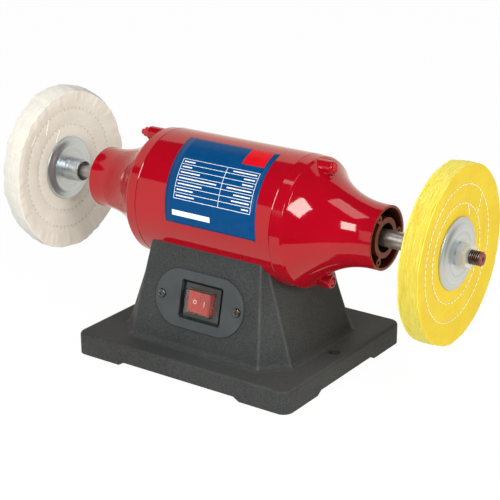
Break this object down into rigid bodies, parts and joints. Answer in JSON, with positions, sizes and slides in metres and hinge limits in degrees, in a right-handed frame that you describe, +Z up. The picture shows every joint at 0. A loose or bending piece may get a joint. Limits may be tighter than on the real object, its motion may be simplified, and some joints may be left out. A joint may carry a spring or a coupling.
{
  "type": "bench buffer",
  "caption": "Bench buffer: twin-ended motor on a cast pedestal with a rocker switch, and a cloth buffing wheel clamped between dished washers on each end of its spindle.",
  "frame": {"origin": "middle of the base, on the surface that the machine stands on", "axes": "+X along the spindle towards the stitched yellow wheel, -Y towards the operator, +Z up"},
  "size_m": [0.47, 0.186, 0.209],
  "materials": {
    "black_casting": "matte",
    "red_paint": "gloss",
    "painted_fasteners": "gloss",
    "slate_plastic": "satin",
    "black_plastic": "satin",
    "red_plastic": "satin",
    "clear_plastic": "gloss",
    "black_rubber": "matte",
    "insulation": "satin",
    "grey_can": "satin",
    "zinc": "satin",
    "black_screws": "satin",
    "turned_steel": "polished",
    "laminations": "matte",
    "cast_aluminium": "satin",
    "copper": "satin",
    "cream_cotton": "matte",
    "yellow_cotton": "matte"
  },
  "bodies": {
    "machine": {"base_casting": "black_casting", "motor_shell": "red_paint", "left_end_bell": "red_paint", "right_end_bell": "red_paint", "tie_bolts": "painted_fasteners", "tie_nuts": "painted_fasteners", "switch_plate": "slate_plastic", "switch_body": "black_plastic", "terminal_block": "black_plastic", "cable_gland": "black_plastic", "gland_cap": "black_plastic", "gland_locknut": "black_plastic", "switch_boot": "clear_plastic", "gland_seal": "black_rubber", "motor_leads": "insulation", "capacitor_leads": "insulation", "switch_leads": "insulation", "capacitor": "grey_can", "saddle_bolts": "zinc", "saddle_washers": "zinc", "earth_screw": "zinc", "bottom_cover_screws": "zinc", "capacitor_clip": "zinc", "capacitor_clip_screws": "zinc", "terminal_screws": "zinc", "terminal_block_screws": "zinc", "bottom_cover": "zinc", "switch_plate_screws": "black_screws", "bearing_outer_rings": "turned_steel", "preload_washer": "turned_steel", "stator_core": "laminations", "stator_windings": "copper", "switch_terminals": "copper"},
    "spindle": {"spindle": "turned_steel", "rotor_core": "laminations", "rotor_cage": "cast_aluminium", "bearing_inner_rings": "turned_steel", "left_inner_flange": "zinc", "right_inner_flange": "zinc", "white_wheel": "cream_cotton", "yellow_wheel": "yellow_cotton", "left_outer_flange": "zinc", "right_outer_flange": "zinc", "left_nut": "zinc", "right_nut": "zinc"},
    "bearing_balls": {"bearing_balls": "turned_steel", "bearing_cages": "turned_steel"},
    "rocker": {"rocker": "red_plastic", "switch_contact": "copper"}
  },
  "joints": [
    {"name": "spindle_spin", "type": "hinge", "parent": "machine", "child": "spindle", "pos_m": [0, 0, 0.134], "axis": [1, 0, 0], "continuous": true},
    {"name": "ball_orbit", "type": "hinge", "parent": "machine", "child": "bearing_balls", "pos_m": [0, 0, 0.134], "axis": [1, 0, 0], "continuous": true},
    {"name": "rocker_tilt", "type": "hinge", "parent": "machine", "child": "rocker", "pos_m": [0.0026, -0.05612, 0.06223], "axis": [0, 0.2255, 0.9742], "range_deg": [0, 14]}
  ],
  "couplings": [
    {"joint": "ball_orbit", "follows": "spindle_spin", "ratio": 0.3816}
  ]
}
